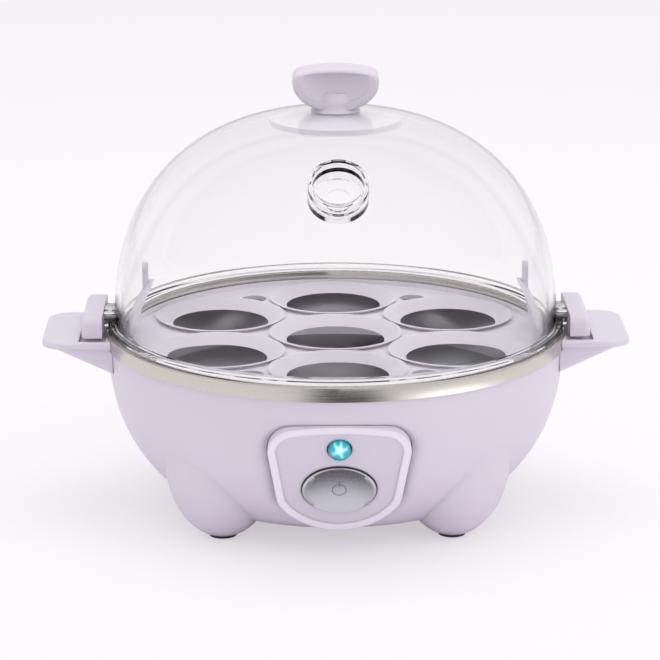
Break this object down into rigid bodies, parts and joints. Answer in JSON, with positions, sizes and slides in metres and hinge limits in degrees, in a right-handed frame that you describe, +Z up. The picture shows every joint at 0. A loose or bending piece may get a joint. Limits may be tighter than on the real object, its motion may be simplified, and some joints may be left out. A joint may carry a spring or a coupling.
{
  "type": "electric egg cooker",
  "caption": "Pale lavender electric egg cooker with a clear domed lid, steel rim, lift-out tray, side handles and a tilted front control panel.",
  "frame": {"origin": "on the floor, under the centre of the bowl", "axes": "+Z up, -Y towards the control panel, +X towards the right handle"},
  "size_m": [0.202, 0.1596, 0.1546],
  "materials": {
    "lavender_plastic": "satin",
    "clear_plastic": "polished",
    "rim_steel": "satin",
    "plate_steel": "satin",
    "button_steel": "satin",
    "heater_aluminium": "satin",
    "lens_teal": "polished",
    "foot_rubber": "matte",
    "inner_plastic": "matte",
    "screw_steel": "satin"
  },
  "bodies": {
    "base": {"body_shell": "lavender_plastic", "rim_band": "rim_steel", "heating_plate": "plate_steel", "plate_gasket": "foot_rubber", "heat_spreader": "heater_aluminium", "heating_element": "plate_steel", "heat_shield": "plate_steel", "thermostat": "heater_aluminium", "thermal_fuse": "inner_plastic", "fuse_clip": "plate_steel", "control_panel": "lavender_plastic", "button_spring": "screw_steel", "switch_body": "inner_plastic", "switch_bracket": "inner_plastic", "indicator_lens": "lens_teal", "indicator_lamp": "inner_plastic", "bottom_cover": "lavender_plastic", "control_board": "inner_plastic", "buzzer": "inner_plastic", "terminal_block": "inner_plastic", "cord_gland": "lavender_plastic", "foot_pad_1": "foot_rubber", "foot_pad_2": "foot_rubber", "foot_pad_3": "foot_rubber", "foot_pad_4": "foot_rubber", "base_screws": "screw_steel", "plate_sleeves": "plate_steel", "cover_screws": "screw_steel"},
    "lid": {"lid_dome": "clear_plastic", "lid_knob": "lavender_plastic", "knob_disc": "lavender_plastic", "knob_screw": "screw_steel", "lid_grip_right": "lavender_plastic", "lid_grip_left": "lavender_plastic", "grip_pin_right": "screw_steel", "grip_pin_left": "screw_steel"},
    "tray": {"tray": "lavender_plastic"},
    "button": {"power_button": "button_steel"}
  },
  "joints": [
    {"name": "lid_lift", "type": "slide", "parent": "base", "child": "lid", "axis": [0, 0, 1], "range_m": [0, 0.16]},
    {"name": "tray_lift", "type": "slide", "parent": "base", "child": "tray", "axis": [0, 0, 1], "range_m": [0, 0.08]},
    {"name": "button_press", "type": "slide", "parent": "base", "child": "button", "axis": [0, 0.9336, 0.3584], "range_m": [0, 0.0018], "stiffness_N_per_m": 900, "deforming": ["button_spring"]}
  ],
  "couplings": [
    {"joint": "tray_lift", "follows": "lid_lift", "ratio": 0.5}
  ]
}
